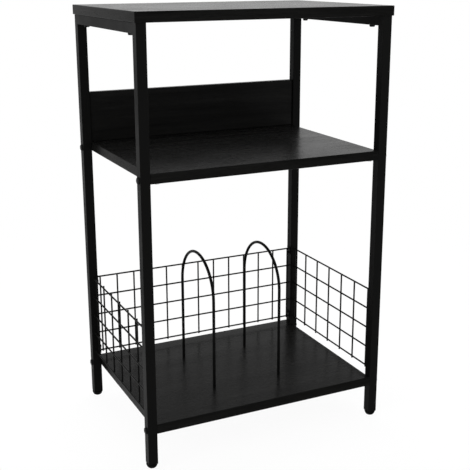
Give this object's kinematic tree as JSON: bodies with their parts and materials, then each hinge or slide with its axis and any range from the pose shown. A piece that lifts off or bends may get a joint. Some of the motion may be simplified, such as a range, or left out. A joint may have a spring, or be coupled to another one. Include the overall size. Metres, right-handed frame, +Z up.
{
  "type": "record player stand",
  "caption": "Tall steel and board stand for a record player, with a top panel, a shelf with a low back panel, and a mesh-sided bottom tier with arched dividers and levelling feet.",
  "frame": {"origin": "on the floor, below the middle of the stand", "axes": "+X to the stand's right seen from the front, +Y to the back, +Z up"},
  "size_m": [0.6072, 0.431, 0.994],
  "materials": {
    "board_face": "black woodgrain melamine on chipboard, satin",
    "board_edging": "black woodgrain edge band, satin",
    "frame_steel": "fine matt black powder coat",
    "mesh_wire": "matt black powder coat on wire",
    "divider_rod": "satin black powder coat on rod",
    "black_fastener": "black zinc, satin",
    "bright_fastener": "zinc plate",
    "foot_stud_steel": "zinc plate, threaded",
    "foot_plastic": "moulded black plastic",
    "plug_plastic": "moulded black plastic"
  },
  "bodies": {
    "stand": {"top_panel": "board_face", "middle_shelf": "board_face", "bottom_shelf": "board_face", "back_panel": "board_face", "top_panel_edging": "board_edging", "middle_shelf_edging": "board_edging", "bottom_shelf_edging": "board_edging", "back_panel_edging": "board_edging", "leg_front_left": "frame_steel", "leg_front_right": "frame_steel", "leg_back_left": "frame_steel", "leg_back_right": "frame_steel", "top_rail_left": "frame_steel", "top_rail_right": "frame_steel", "mesh_left": "mesh_wire", "mesh_right": "mesh_wire", "mesh_back": "mesh_wire", "divider_hoop_left": "divider_rod", "divider_hoop_right": "divider_rod", "middle_shelf_bolts": "black_fastener", "bottom_shelf_bolts": "black_fastener", "top_panel_bolts": "black_fastener", "mesh_screws": "black_fastener", "back_panel_screws": "black_fastener", "middle_shelf_barrel_nuts": "bright_fastener", "bottom_shelf_barrel_nuts": "bright_fastener", "top_panel_inserts": "bright_fastener", "hoop_washers": "bright_fastener", "hoop_nuts": "bright_fastener", "leg_plug_front_left": "plug_plastic", "leg_plug_front_right": "plug_plastic", "leg_plug_back_left": "plug_plastic", "leg_plug_back_right": "plug_plastic"},
    "foot_front_left": {"foot_pad_front_left": "foot_plastic", "foot_stud_front_left": "foot_stud_steel"},
    "foot_front_right": {"foot_pad_front_right": "foot_plastic", "foot_stud_front_right": "foot_stud_steel"},
    "foot_back_left": {"foot_pad_back_left": "foot_plastic", "foot_stud_back_left": "foot_stud_steel"},
    "foot_back_right": {"foot_pad_back_right": "foot_plastic", "foot_stud_back_right": "foot_stud_steel"}
  },
  "joints": [
    {"name": "foot_front_left_screw", "type": "slide", "parent": "stand", "child": "foot_front_left", "axis": [0, 0, -1], "range_m": [0, 0.012]},
    {"name": "foot_front_right_screw", "type": "slide", "parent": "stand", "child": "foot_front_right", "axis": [0, 0, -1], "range_m": [0, 0.012]},
    {"name": "foot_back_left_screw", "type": "slide", "parent": "stand", "child": "foot_back_left", "axis": [0, 0, -1], "range_m": [0, 0.012]},
    {"name": "foot_back_right_screw", "type": "slide", "parent": "stand", "child": "foot_back_right", "axis": [0, 0, -1], "range_m": [0, 0.012]}
  ]
}
